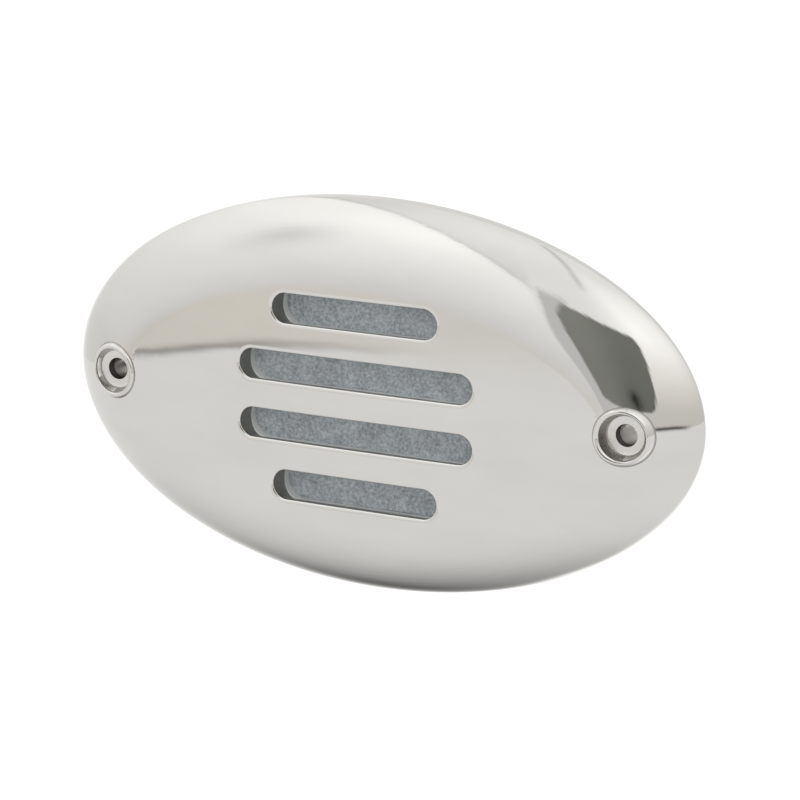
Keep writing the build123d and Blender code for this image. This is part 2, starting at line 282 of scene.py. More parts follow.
def face_height(sizes, x, z):
    """Height of the face over the panel."""
    crown = sizes.crown - sizes.end_sag * (x / sizes.half_length) ** 2
    crown -= sizes.side_sag * (z / sizes.half_width) ** 2
    return crown - fall(sizes, inside_rim(sizes, x, z))[0]


def face_normal(sizes, x, z):
    """The direction that the face looks in."""
    rim_x, rim_z, step_x, step_z = rim_frame(sizes, x, z)
    slope = fall(sizes, math.hypot(rim_x - x, rim_z - z))[1]
    rise_x = slope * step_x - 2 * sizes.end_sag * x / sizes.half_length ** 2
    rise_z = slope * step_z - 2 * sizes.side_sag * z / sizes.half_width ** 2
    return Vector((-rise_x, -1.0, -rise_z)).normalized()


# ---- Mesh helpers -------------------------------------------------------

def ring(bm, segments, place):
    """A closed loop of edges whose corners stand where place(angle) says."""
    made = bmesh.ops.create_circle(bm, cap_ends=False, segments=segments, radius=1.0)
    for vert in made["verts"]:
        vert.co = place(math.atan2(vert.co.y, vert.co.x))
    return list({edge for vert in made["verts"] for edge in vert.link_edges})


def stadium(half, radius, x=0.0, z=0.0):
    """Place for the corners of a slot-shaped loop: a circle pulled apart along X."""
    def place(turn):
        shift = 0.0 if abs(math.cos(turn)) < 1e-6 else math.copysign(half, math.cos(turn))
        return Vector((x + shift + radius * math.cos(turn), 0.0, z + radius * math.sin(turn)))
    return place


def rim_loop(sizes, inset):
    """Place for the corners of a loop that runs at this distance inside the rim."""
    def place(turn):
        x, z = sizes.half_length * math.cos(turn), sizes.half_width * math.sin(turn)
        step_x, step_z = -x / sizes.half_length ** 2, -z / sizes.half_width ** 2
        size = math.hypot(step_x, step_z)
        return Vector((x + inset * step_x / size, 0.0, z + inset * step_z / size))
    return place


def cut_into_cells(bm, cell, reach_x, reach_z):
    """Cuts a flat sheet along a grid, and joins what lies within each cell."""
    for normal, reach in ((Vector((1, 0, 0)), reach_x), (Vector((0, 0, 1)), reach_z)):
        count = int(reach / cell)
        for i in range(-count, count + 1):
            bmesh.ops.bisect_plane(
                bm, geom=bm.verts[:] + bm.edges[:] + bm.faces[:], dist=1e-8,
                plane_co=normal * (i + 0.5) * cell, plane_no=normal,
            )
    slanted = []
    for edge in bm.edges:
        run = edge.verts[1].co - edge.verts[0].co
        if not edge.is_boundary and abs(run.x) > 1e-8 and abs(run.z) > 1e-8:
            slanted.append(edge)
    bmesh.ops.dissolve_edges(bm, edges=slanted, use_verts=False, use_face_split=False)


def flat_sheet(loops, cell=None, reach_x=0.0, reach_z=0.0):
    """A flat sheet inside the first loop, with the other loops as holes."""
    bm = bmesh.new()
    for segments, place in loops:
        ring(bm, segments, place)
    bmesh.ops.triangle_fill(bm, use_beauty=True, use_dissolve=False, edges=bm.edges[:])
    if cell:
        cut_into_cells(bm, cell, reach_x, reach_z)
    return bm


def open_loops(bm, test):
    """The open edges of a sheet that pass a test on their middle."""
    return [
        edge for edge in bm.edges
        if edge.is_boundary and test((edge.verts[0].co + edge.verts[1].co) / 2)
    ]


def next_ring(bm, edges, place):
    """Draws a loop of open edges out into a new ring of faces, and moves its corners."""
    made = bmesh.ops.extrude_edge_only(bm, edges=edges)["geom"]
    for vert in made:
        if isinstance(vert, bmesh.types.BMVert):
            vert.co = place(vert.co)
    return [edge for edge in made if isinstance(edge, bmesh.types.BMEdge)]


def to_level(y):
    """Place for the corners of a ring that is drawn straight to this Y."""
    return lambda co: Vector((co.x, y, co.z))


def round_axis(co, x, radius, y=0.0):
    """The point at a radius round the axis at X, on a corner's side of it."""
    away = Vector((co.x - x, 0.0, co.z)).normalized() * radius
    return Vector((x + away.x, y, away.z))


def open_at(bm, y):
    """The open edges that lie flat at this Y."""
    return [
        edge for edge in bm.edges
        if edge.is_boundary and all(abs(vert.co.y - y) < LEVEL for vert in edge.verts)
    ]


def add_sheet(bm, sheet):
    """Adds one sheet to another."""
    mesh = bpy.data.meshes.new("sheet")
    sheet.to_mesh(mesh)
    sheet.free()
    bm.from_mesh(mesh)
    bpy.data.meshes.remove(mesh)


def finish_surface(bm, sharp):
    """Points the faces outwards and shades them smooth, apart from edges over an angle."""
    if any(len(edge.link_faces) != 2 for edge in bm.edges):
        raise RuntimeError("A piece isn't closed")
    bmesh.ops.recalc_face_normals(bm, faces=bm.faces[:])
    for face in bm.faces:
        face.smooth = True
    for edge in bm.edges:
        edge.smooth = edge.calc_face_angle() < math.radians(sharp)


def new_piece(name, bm, material, node):
    """Makes a finished piece that stands for a node, on the filter's one body."""
    mesh = bpy.data.meshes.new(name)
    bm.to_mesh(mesh)
    bm.free()
    piece = bpy.data.objects.new(name, mesh)
    bpy.context.scene.collection.objects.link(piece)
    mesh.materials.append(material)
    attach(piece, "root")
    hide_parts(node)
    return piece


# ---- Cover --------------------------------------------------------------

SLOT_CORNERS = 64
SEAT_CORNERS = 72
PLATE_CORNERS = 160
RIM_CORNERS = 320
SHOULDER_RINGS = 26
LIP_TILT = 0.4    # share of the face's slope that the lip's plane takes
LIP_BEND = 0.35   # share of the face's own bend that is left at the lip's inner edge

# Finishes of the cover's faces, in the order of its materials. The third darkens the screw holes'
# bores as painted shade.
POLISHED, CAST, DRILLED_PAINTED_SHADE, SPOT_FACED = range(4)


def slot_rows(slots):
    """Height on the cover and straight half length of each slot."""
    for row, size in ((1.5, slots.short), (0.5, slots.long), (-0.5, slots.long), (-1.5, slots.short)):
        yield row * slots.pitch - slots.drop, (size - slots.width) / 2


def beside_slot(co, z, half):
    """Nearest point on a slot's middle line, and the step away from it."""
    middle = Vector((max(-half, min(half, co.x)), 0.0, z))
    return middle, Vector((co.x, 0.0, co.z)) - middle


def face_edge(cover):
    """How far inside the rim the evenly celled face ends and the shoulder's rings begin."""
    return 0.3 * cover.shoulder


def outer_sheet(cover, slots, seats):
    """The face between the shoulder, the slots and the seats, bent to its heights."""
    loops = [(RIM_CORNERS, rim_loop(cover, face_edge(cover)))]
    for z, half in slot_rows(slots):
        loops.append((SLOT_CORNERS, stadium(half, slots.width / 2 + slots.rim_reach, z=z)))
    for side in (-1, 1):
        loops.append((SEAT_CORNERS, stadium(0, seats.foot, x=side * seats.place)))
    bm = flat_sheet(loops, cover.cell, cover.half_length, cover.half_width)
    bending = set()
    for face in bm.faces:
        middle = face.calc_center_median()
        if abs(inside_rim(cover, middle.x, middle.z) - cover.shoulder) < cover.cell:
            bending.update(face.edges)
    bmesh.ops.subdivide_edges(bm, edges=list(bending), cuts=2, use_grid_fill=True)
    for vert in bm.verts:
        vert.co.y = -face_height(cover, vert.co.x, vert.co.z)
    return bm


def is_near_rim(cover, inset):
    """Test for the open edges that run close to the rim."""
    return lambda co: inside_rim(cover, co.x, co.z) < inset


def add_shoulder(bm, cover):
    """Rolls the face over to the rim, and down to the panel."""
    edges = open_loops(bm, is_near_rim(cover, face_edge(cover) + cover.cell))
    for i in range(1, SHOULDER_RINGS + 1):
        # The rings crowd together towards the rim, where the steel turns down most sharply.
        crowded = math.cos(QUARTER * i / SHOULDER_RINGS) ** 1.6 if i < SHOULDER_RINGS else 0.0
        inset = face_edge(cover) * crowded

        def place(co, inset=inset):
            x, z = step_in(cover, co.x, co.z, inset)
            return Vector((x, -face_height(cover, x, z), z))
        edges = next_ring(bm, edges, place)
    return next_ring(bm, edges, to_level(0.0))


def add_slot_rims(bm, cover, slots):
    """Rounds each slot's rim, and takes its wall back to the pad's flat."""
    steps = 10
    for z, half in slot_rows(slots):
        def on_slot(co, z=z, half=half):
            away = beside_slot(co, z, half)[1].length
            return away < slots.width / 2 + 1.5 * slots.rim_reach
        edges = open_loops(bm, on_slot)
        for i in range(1, steps + 1):
            turn = QUARTER * i / steps

            def place(co, turn=turn, z=z, half=half):
                middle, away = beside_slot(co, z, half)
                away = away.normalized()
                outer = middle + away * (slots.width / 2 + slots.rim_reach)
                inner = middle + away * (slots.width / 2 + slots.rim_reach * (1 - math.sin(turn)))
                drop = slots.rim_depth * (1 - math.cos(turn))
                inner.y = drop - face_height(cover, outer.x, outer.z)
                return inner
            edges = next_ring(bm, edges, place)

        def to_pad(co, z=z, half=half):
            middle, away = beside_slot(co, z, half)
            away = away.normalized()
            x = middle.x + away.x * (slots.width / 2 - slots.end_close)
            return Vector((x, -cover.pad, middle.z + away.z * (slots.width / 2 + slots.draft)))
        next_ring(bm, edges, to_pad)


def seat_plane(cover, seats, side):
    """Height of the face at a mounting hole, and its slope along X there."""
    x = side * seats.place
    normal = face_normal(cover, x, 0.0)
    return face_height(cover, x, 0.0), normal.x / normal.y


def lip_profile(seats):
    """Radius and rise of each ring from the foot of the lip to the top of the seat's wall."""
    yield seats.foot - 0.1 * MM, 0.02 * MM
    yield seats.foot - 0.2 * MM, 0.09 * MM
    for degrees in range(15, 181, 11):
        turn = math.radians(degrees)
        yield seats.lip + seats.lip_half * math.cos(turn), seats.lip_height * math.sin(turn)


def add_seats(bm, cover, seats):
    """Adds each mounting hole's lip, sunk seat and hole."""
    for side in (-1, 1):
        x = side * seats.place
        height, slope = seat_plane(cover, seats, side)
        inner = seats.lip - seats.lip_half

        def on_seat(co, x=x):
            return math.hypot(co.x - x, co.z) < seats.foot + 0.5 * cover.cell

        edges = open_loops(bm, on_seat)
        for radius, rise in lip_profile(seats):
            level = max(0.0, (radius - inner) / (seats.foot - inner))
            level = LIP_BEND + (1 - LIP_BEND) * level * level * (3 - 2 * level)

            def place(co, radius=radius, rise=rise, level=level, x=x):
                point = round_axis(co, x, radius)
                plane = height + LIP_TILT * slope * (point.x - x)
                face = face_height(cover, point.x, point.z)
                point.y = -(plane + (face - plane) * level + rise)
                return point
            edges = next_ring(bm, edges, place)
        floor = height - seats.depth
        foot = inner - seats.edge
        for radius, level in (
            (foot, floor + seats.edge), (foot - 0.3 * seats.edge, floor + 0.3 * seats.edge),
            (foot - seats.edge, floor), (seats.hole + seats.burr, floor),
            (seats.hole, floor - seats.burr), (seats.hole, floor - seats.throat),
            (seats.core, 0.0),
        ):
            def sunk(co, radius=radius, level=level, x=x):
                return round_axis(co, x, radius, -level)
            edges = next_ring(bm, edges, sunk)


def in_groove(cover, co, inset, height):
    """A corner's place in the gasket's groove, which follows an oval of four arcs."""
    a, b, end = COVER_HIGH.x, COVER_HIGH.z, cover.end_radius
    side = ((a - end) ** 2 + b * b - end * end) / (2 * (b - end))
    corner = Vector((abs(co.x), 0.0, abs(co.z)))
    if corner.z * (a - end) < (side - b) * (corner.x - (a - end)):
        centre, radius = Vector((a - end, 0.0, 0.0)), end
    else:
        centre, radius = Vector((0.0, 0.0, b - side)), side
    point = centre + (corner - centre).normalized() * (radius - inset)
    return Vector((math.copysign(point.x, co.x), -height, math.copysign(point.z, co.z)))


def add_land(bm, cover, rim):
    """The flat ring that lies on the panel, with the gasket's groove."""
    groove_end = cover.groove_inset + cover.groove_width
    for inset, height in (
        (cover.groove_inset, 0.0), (cover.groove_inset, cover.groove_depth),
        (groove_end, cover.groove_depth), (groove_end, 0.0),
    ):
        def place(co, inset=inset, height=height):
            return in_groove(cover, co, inset, height)
        rim = next_ring(bm, rim, place)

    def on_land(co):
        x, z = step_in(cover, co.x, co.z, cover.land)
        return Vector((x, 0.0, z))
    next_ring(bm, rim, on_land)


def add_stand(hollow, x, radius, height):
    """Draws a boss or a post out of the hollow, and gives the open edges of its end."""
    edges = open_loops(hollow, lambda co: abs(math.hypot(co.x - x, co.z) - radius) < NEAR)
    return next_ring(hollow, edges, to_level(-height))


def hollow_sheet(cover, seats):
    """The inside of the casting, with its bosses, its bored posts and the wall of the pad."""
    pad_half = LINER_HIGH.x - LINER_HIGH.z
    pad_radius = LINER_HIGH.z + cover.pad_margin
    loops = [(RIM_CORNERS, rim_loop(cover, cover.land))]
    loops.append((RIM_CORNERS, stadium(pad_half, pad_radius)))
    for side in (-1, 1):
        loops.append((SEAT_CORNERS, stadium(0, seats.boss, x=side * seats.place)))
        loops.append((SEAT_CORNERS, stadium(0, seats.post, x=side * seats.post_place)))
    hollow = flat_sheet(loops, 3 * cover.cell, cover.half_length, cover.half_width)
    for vert in hollow.verts:
        vert.co.y = cover.wall - face_height(cover, vert.co.x, vert.co.z)
    for side in (-1, 1):
        add_stand(hollow, side * seats.place, seats.boss, 0.0)
    bore_end = seats.pilot_roof - face_height(cover, seats.post_place, 0.0)
    for side in (-1, 1):
        x = side * seats.post_place
        end = add_stand(hollow, x, seats.post, seats.post_height)
        for y in (-seats.post_height, bore_end):
            def bored(co, x=x, y=y):
                return round_axis(co, x, seats.pilot, y)
            end = next_ring(hollow, end, bored)
        bmesh.ops.edgenet_fill(hollow, edges=end)

    def on_pad(co):
        in_pad = beside_slot(co, 0.0, pad_half)[1].length < pad_radius + NEAR
        on_boss = abs(math.hypot(abs(co.x) - seats.place, co.z) - seats.boss) <= NEAR
        return in_pad and co.y < -seats.post_height - 0.1 * MM and not on_boss
    next_ring(hollow, open_loops(hollow, on_pad), to_level(-cover.pad))
    return hollow


def add_back(bm, cover, seats, rim):
    """The land, the hollow, the pad's flat and the flat ends of the bosses."""
    add_land(bm, cover, rim)
    add_sheet(bm, hollow_sheet(cover, seats))
    bmesh.ops.bridge_loops(bm, edges=open_loops(bm, is_near_rim(cover, cover.land + NEAR)))
    pad = open_at(bm, -cover.pad)
    bmesh.ops.triangle_fill(bm, use_beauty=True, use_dissolve=False, edges=pad)
    ends = open_at(bm, 0.0)
    for side in (-1, 1):
        end = []
        for edge in ends:
            co = edge.verts[0].co
            if side * co.x > 0 and abs(co.z) < 2 * seats.boss:
                end.append(edge)
        bmesh.ops.triangle_fill(bm, use_beauty=True, use_dissolve=False, edges=end)


def keep_face_normals(mesh, cover):
    """Gives the corners that lie on the face its exact direction, so that it mirrors cleanly."""
    cache = {}
    normals = []
    for polygon in mesh.polygons:
        for loop_index in polygon.loop_indices:
            index = mesh.loops[loop_index].vertex_index
            if index not in cache:
                co = mesh.vertices[index].co
                on_face = False
                if co.y < -0.1 * MM:
                    on_face = abs(co.y + face_height(cover, co.x, co.z)) < 0.5e-6
                cache[index] = face_normal(cover, co.x, co.z) if on_face else None
            normal = cache[index]
            if normal is None or normal.dot(polygon.normal) < 0.75:
                normals.append((0.0, 0.0, 0.0))
            else:
                normals.append(tuple(normal))
    mesh.normals_split_custom_set(normals)


def finish_of(polygon, cover, slots, seats):
    """Polished outside, as cast inside, and at the screw holes spot-faced, or darkened as painted
    shade down the bore.
    """
    co, normal = polygon.center, polygon.normal
    out = math.hypot(abs(co.x) - seats.place, co.z)
    if out < seats.lip - 0.9 * seats.lip_half and normal.y < 0.5:
        if out > 1.2 * seats.hole:
            return SPOT_FACED if normal.y < -0.35 else CAST
        floor = seat_plane(cover, seats, 1)[0] - seats.depth
        # The first part of each screw hole's bore gets the dark steel, whose colour is painted shade.
        return DRILLED_PAINTED_SHADE if -co.y > floor - 1.01 * seats.throat else CAST
    at_lip_foot = seats.foot - 0.16 * MM < out < seats.foot and normal.y < 0
    if at_lip_foot or normal.y > 0.1:
        return CAST
    in_slot = any(
        abs(co.x) > half and abs(normal.y) < 0.5
        and beside_slot(co, z, half)[1].length < slots.width / 2 + slots.draft
        for z, half in slot_rows(slots)
    )
    deep = face_height(cover, co.x, co.z) + co.y > cover.wall * 0.9
    in_rim = math.hypot(co.x / cover.half_length, co.z / cover.half_width) < 0.98
    return CAST if in_slot or deep and in_rim and out > seats.lip else POLISHED


class FILTER_OT_cover(Operator):
    """Build the polished cast cover with its slots and screw seats"""

    bl_idname = "filter.cover"
    bl_label = "Cover"

    def execute(self, context):
        scene, colours = context.scene, context.scene.filter_colours
        cover, slots, seats = scene.filter_cover, scene.filter_slots, scene.filter_seats
        bm = outer_sheet(cover, slots, seats)
        rim = add_shoulder(bm, cover)
        add_slot_rims(bm, cover, slots)
        add_seats(bm, cover, seats)
        add_back(bm, cover, seats, rim)
        finish_surface(bm, 38)
        steel = polished_steel(colours, cover)
        piece = new_piece("polished_cover", bm, steel, "front_cover")
        for finish in (cast_steel, drilled_steel_painted_shade, spot_faced_steel):
            piece.data.materials.append(finish(colours))
        for polygon in piece.data.polygons:
            polygon.material_index = finish_of(polygon, cover, slots, seats)
        keep_face_normals(piece.data, cover)
        return {"FINISHED"}


# ---- Liner and felt -----------------------------------------------------

class FILTER_OT_liner(Operator):
    """Build the moulded liner behind the slots"""

    bl_idname = "filter.liner"
    bl_label = "Liner"

    def execute(self, context):
        scene = context.scene
        slots = scene.filter_slots
        half, radius = LINER_HIGH.x - LINER_HIGH.z, LINER_HIGH.z
        opening = slots.width / 2 + slots.liner_room
        inset = slots.liner_room + slots.liner_step
        edge = slots.liner_edge
        loops = [(PLATE_CORNERS, stadium(half, radius))]
        for z, slot_half in slot_rows(slots):
            loops.append((SLOT_CORNERS, stadium(slot_half - inset, opening + edge, z=z)))
        bm = flat_sheet(loops)
        for vert in bm.verts:
            vert.co.y = LINER_LOW.y
        rear, steps = [], 6
        for z, slot_half in slot_rows(slots):
            def on_opening(co, z=z, slot_half=slot_half):
                return beside_slot(co, z, slot_half - inset)[1].length < opening + 1.5 * edge
            edges = open_loops(bm, on_opening)
            for i in range(1, steps + 1):
                turn = QUARTER * i / steps

                def place(co, turn=turn, z=z, slot_half=slot_half):
                    middle, away = beside_slot(co, z, slot_half - inset)
                    point = middle + away.normalized() * (opening + edge * (1 - math.sin(turn)))
                    point.y = LINER_LOW.y + edge * (1 - math.cos(turn))
                    return point
                edges = next_ring(bm, edges, place)
            rear += next_ring(bm, edges, to_level(LINER_HIGH.y))
        rear += next_ring(bm, open_at(bm, LINER_LOW.y), to_level(LINER_HIGH.y))
        bmesh.ops.triangle_fill(bm, use_beauty=True, use_dissolve=False, edges=rear)
        finish_surface(bm, 40)
        new_piece("liner", bm, moulded_liner(scene.filter_colours), "slot_liner")
        return {"FINISHED"}


class FILTER_OT_felt(Operator):
    """Build the felt behind the slots"""

    bl_idname = "filter.felt"
    bl_label = "Felt"

    def execute(self, context):
        felt, colours = context.scene.filter_felt, context.scene.filter_colours
        half, radius = CLOTH_HIGH.x - CLOTH_HIGH.z, CLOTH_HIGH.z
        outline = [(PLATE_CORNERS, stadium(half, radius))]
        bm = flat_sheet(outline, felt.cell, CLOTH_HIGH.x, CLOTH_HIGH.z)
        for vert in bm.verts:
            # Waves some 12 to 23 mm long that bend each other, so that none repeats plainly.
            x, z = vert.co.x, vert.co.z
            along = math.sin(x * 410 + 2 * math.sin(z * 330))
            across = math.sin(z * 520 + 2 * math.sin(x * 270))
            vert.co.y = CLOTH_LOW.y + felt.quilt * (1 + along * across)
        edges = next_ring(bm, open_loops(bm, lambda co: True), to_level(CLOTH_HIGH.y))
        bmesh.ops.edgenet_fill(bm, edges=edges)
        finish_surface(bm, 50)
        piece = new_piece("felt", bm, needled_felt(colours), "prefilter_cloth")
        return {"FINISHED"}


# ---- Materials ----------------------------------------------------------

def add_node(tree, kind, settings=None, **links):
    """Adds a node with its settings, and links or sets its inputs.

    An input is named by its label with spaces as underscores, or by "i" and its index.
    """
    node = tree.nodes.new(kind)
    for name, value in (settings or {}).items():
        setattr(node, name, value)
    for name, value in links.items():
        by_index = name[0] == "i" and name[1:].isdigit()
        socket = node.inputs[int(name[1:]) if by_index else name.replace("_", " ")]
        if isinstance(value, bpy.types.NodeSocket):
            tree.links.new(value, socket)
        else:
            socket.default_value = value
    return node


def new_material(name):
    """An empty material, its node tree and its Principled shader."""
    material = bpy.data.materials.new(name)
    material.use_nodes = True
    tree = material.node_tree
    shader = tree.nodes["Principled BSDF"]
    return material, tree, shader


def place_on_object(tree, scale=(1.0, 1.0, 1.0)):
    """Object coordinates in metres, stretched by a scale."""
    where = add_node(tree, "ShaderNodeTexCoord")
    return add_node(
        tree, "ShaderNodeMapping", Vector=where.outputs["Object"], Scale=scale
    ).outputs["Vector"]


def tinted(base, factor):
    """A colour made darker or lighter."""
    return [min(1.0, c * factor) for c in base[:3]] + [1.0]


def mottle(tree, shader, pattern, low, high, stops):
    """Colours the surface between two stops as a pattern goes from low to high."""
    spread = add_node(tree, "ShaderNodeMapRange", Value=pattern, From_Min=low, From_Max=high)
    tones = add_node(tree, "ShaderNodeValToRGB", Fac=spread.outputs["Result"])
    tones.color_ramp.elements[0].color = stops[0]
    tones.color_ramp.elements[1].color = stops[1]
    tree.links.new(tones.outputs["Color"], shader.inputs["Base Color"])


def roughen(tree, shader, pattern, low, high, strength, depth):
    """Lets a pattern vary the roughness from low to high and stand out as a fine relief."""
    rough = add_node(
        tree, "ShaderNodeMapRange", Value=pattern, From_Min=0.3, From_Max=0.7,
        To_Min=low, To_Max=high,
    )
    tree.links.new(rough.outputs["Result"], shader.inputs["Roughness"])
    bump = add_node(tree, "ShaderNodeBump", Height=pattern, Strength=strength, Distance=depth)
    tree.links.new(bump.outputs["Normal"], shader.inputs["Normal"])


def calculate(tree, operation, first, *others):
    """Works from left to right through sockets and numbers with one operation."""
    settings = {"operation": operation}
    if not others:
        return add_node(tree, "ShaderNodeMath", settings, i0=first).outputs[0]
    for other in others:
        first = add_node(tree, "ShaderNodeMath", settings, i0=first, i1=other).outputs[0]
    return first


def add_up(tree, *values):
    """The sum of sockets and numbers."""
    return calculate(tree, "ADD", *values)


def product(tree, *values):
    """The product of sockets and numbers."""
    return calculate(tree, "MULTIPLY", *values)


def soft_steps(tree, *steps):
    """The product of soft steps.

    Each step is a value, where it starts and where it ends, and may also say what it
    goes from and to. Without that it goes from 0 to 1.
    """
    made = []
    for value, start, end, *levels in steps:
        low, high = levels or (0.0, 1.0)
        made.append(add_node(
            tree, "ShaderNodeMapRange", {"interpolation_type": "SMOOTHSTEP"}, Value=value,
            From_Min=start, From_Max=end, To_Min=low, To_Max=high,
        ).outputs["Result"])
    return product(tree, *made) if len(made) > 1 else made[0]


def buff_lines(tree, cover):
    """Fine lines left by the buff along the rim, as a height that fades out on the crown."""
    flat = place_on_object(tree, (1 / cover.half_length, 0.0, 1 / cover.half_width))
    reach = add_node(tree, "ShaderNodeVectorMath", {"operation": "LENGTH"}, i0=flat)
    reach = reach.outputs["Value"]
    around = add_node(tree, "ShaderNodeVectorMath", {"operation": "NORMALIZE"}, i0=flat)
    along = add_node(
        tree, "ShaderNodeVectorMath", {"operation": "SCALE"}, i0=around.outputs[0],
        Scale=cover.half_length / (14 * MM),
    )
    rows = product(tree, reach, cover.half_length / (1.1 * MM))
    across = add_node(tree, "ShaderNodeCombineXYZ", Y=rows)
    where = add_node(
        tree, "ShaderNodeVectorMath", {"operation": "ADD"}, i0=along.outputs[0],
        i1=across.outputs[0],
    )
    lines = add_node(
        tree, "ShaderNodeTexNoise", Vector=where.outputs[0], Scale=1.0, Detail=2.0, Roughness=0.6,
    )
    return product(tree, lines.outputs["Fac"], soft_steps(tree, (reach, 0.72, 0.9)))


def polished_steel(colours, cover):
    """Investment cast stainless steel, buffed to a mirror.

    Metal: the eye gets a clear reflection, a little wavy where the buff followed the
    casting, with faint cloudy smears left by polishing compound.
    """
    material, tree, shader = new_material("Mirror polished stainless steel")
    shader.inputs["Metallic"].default_value = 1.0
    smears = add_node(
        tree, "ShaderNodeTexNoise", Vector=place_on_object(tree, (1.0, 1.0, 3.0)),
        Scale=1 / (18 * MM), Detail=3.0, Roughness=0.55,
    )
    haze = add_node(
        tree, "ShaderNodeMapRange", Value=smears.outputs["Fac"], From_Min=0.35, From_Max=0.7,
        To_Min=0.006, To_Max=0.017,
    )
    tree.links.new(haze.outputs["Result"], shader.inputs["Roughness"])
    tones = tinted(colours.steel, 0.98), tinted(colours.steel, 1.02)
    mottle(tree, shader, smears.outputs["Fac"], 0.3, 0.7, tones)
    waves = add_node(
        tree, "ShaderNodeTexNoise", Vector=place_on_object(tree, (1.0, 1.0, 2.0)),
        Scale=1 / (14 * MM), Detail=1.0,
    )
    bump = add_node(
        tree, "ShaderNodeBump", Height=waves.outputs["Fac"], Strength=0.15, Distance=0.03 * MM,
    )
    fine = add_node(
        tree, "ShaderNodeBump", Height=buff_lines(tree, cover), Normal=bump.outputs["Normal"],
        Strength=0.5, Distance=0.018 * MM,
    )
    tree.links.new(fine.outputs["Normal"], shader.inputs["Normal"])
    return material


def cast_steel(colours):
    """The same steel where the buff doesn't reach: satin, with a fine investment-cast skin."""
    material, tree, shader = new_material("As-cast stainless steel")
    shader.inputs["Metallic"].default_value = 1.0
    skin = add_node(
        tree, "ShaderNodeTexNoise", Vector=place_on_object(tree), Scale=1 / (0.6 * MM), Detail=3.0,
    )
    tones = tinted(colours.cast, 0.9), tinted(colours.cast, 1.1)
    mottle(tree, shader, skin.outputs["Fac"], 0.35, 0.65, tones)
    roughen(tree, shader, skin.outputs["Fac"], 0.3, 0.42, 0.4, 0.02 * MM)
    return material


def drilled_steel_painted_shade(colours):
    """A bore cut by a drill, with fine turning marks round its axis; its dark colour is painted shade
    down the hole.
    """
    material, tree, shader = new_material("Drilled stainless steel with painted shade")
    shader.inputs["Metallic"].default_value = 1.0
    # Painted shade: the dark base colour stands for the shade down the bore.
    shader.inputs["Base Color"].default_value = colours.drilled_painted_shade
    marks = add_node(
        tree, "ShaderNodeTexNoise", Vector=place_on_object(tree, (0.05, 1.0, 0.05)),
        Scale=1 / (0.15 * MM), Detail=2.0,
    )
    roughen(tree, shader, marks.outputs["Fac"], 0.4, 0.55, 0.4, 0.02 * MM)
    return material


def spot_faced_steel(colours):
    """The floor of a screw seat: cut flat, then buffed to a soft shine."""
    material, tree, shader = new_material("Spot-faced stainless steel")
    shader.inputs["Metallic"].default_value = 1.0
    shader.inputs["Base Color"].default_value = tinted(colours.steel, 1.04)
    marks = add_node(
        tree, "ShaderNodeTexNoise", Vector=place_on_object(tree), Scale=1 / (1.6 * MM), Detail=2.0,
    )
    roughen(tree, shader, marks.outputs["Fac"], 0.26, 0.34, 0.4, 0.04 * MM)
    return material


def needled_felt(colours):
    """Needled polyester felt: matt, mottled grey fibres a few tenths of a millimetre across."""
    material, tree, shader = new_material("Needled grey felt")
    where = place_on_object(tree)
    fibres = add_node(
        tree, "ShaderNodeTexNoise", Vector=where, Scale=1 / (0.55 * MM), Detail=4.0, Roughness=0.7,
    )
    patches = add_node(
        tree, "ShaderNodeTexNoise", Vector=where, Scale=1 / (3.0 * MM), Detail=2.0,
    )
    both = add_node(
        tree, "ShaderNodeMix", {"data_type": "FLOAT"}, i0=0.2,
        i2=fibres.outputs["Fac"], i3=patches.outputs["Fac"],
    )
    tones = tinted(colours.felt, 0.58), tinted(colours.felt, 1.35)
    mottle(tree, shader, both.outputs["Result"], 0.36, 0.64, tones)
    shader.inputs["Roughness"].default_value = 0.95
    shader.inputs["Sheen Weight"].default_value = 0.25
    shader.inputs["Sheen Roughness"].default_value = 0.6
    bump = add_node(
        tree, "ShaderNodeBump", Height=fibres.outputs["Fac"], Strength=0.7, Distance=0.25 * MM,
    )
    tree.links.new(bump.outputs["Normal"], shader.inputs["Normal"])
    return material


def moulded(name, base, grain, roughness, relief):
    """A moulded plastic or rubber with a fine spark-eroded grain."""
    material, tree, shader = new_material(name)
    where = place_on_object(tree)
    speckle = add_node(
        tree, "ShaderNodeTexNoise", Vector=where, Scale=1 / grain, Detail=3.0, Roughness=0.6,
    )
    flow = add_node(tree, "ShaderNodeTexNoise", Vector=where, Scale=1 / (22 * MM), Detail=2.0)
    tones = tinted(base, 0.88), tinted(base, 1.12)
    mottle(tree, shader, flow.outputs["Fac"], 0.3, 0.7, tones)
    spread = 0.06
    roughen(
        tree, shader, speckle.outputs["Fac"], roughness - spread, roughness + spread, 0.5, relief,
    )
    return material


def drawn_steel(name, base, grain, roughness):
    """Plain stainless wire or turned steel, dull, with fine lines along X."""
    material, tree, shader = new_material(name)
    shader.inputs["Metallic"].default_value = 1.0
    shader.inputs["Base Color"].default_value = base
    lines = add_node(
        tree, "ShaderNodeTexNoise", Vector=place_on_object(tree, (0.08, 1.0, 1.0)),
        Scale=1 / grain, Detail=2.0,
    )
    spread = 0.08
    roughen(
        tree, shader, lines.outputs["Fac"], roughness - spread, roughness + spread, 0.3, 0.02 * MM,
    )
    return material


def filter_paper(colours):
    """Resin-treated cellulose paper: matt, cream, with a cloudy fibre pattern."""
    material, tree, shader = new_material("Cellulose filter paper")
    cloud = add_node(
        tree, "ShaderNodeTexNoise", Vector=place_on_object(tree), Scale=1 / (1.1 * MM), Detail=4.0,
    )
    tones = tinted(colours.paper, 0.85), tinted(colours.paper, 1.08)
    mottle(tree, shader, cloud.outputs["Fac"], 0.35, 0.65, tones)
    shader.inputs["Roughness"].default_value = 0.9
    return material


def moulded_liner(colours):
    """The liner: pale grey, matt, injection moulded."""
    return moulded("Matt grey polypropylene", colours.liner, 0.4 * MM, 0.55, 0.02 * MM)


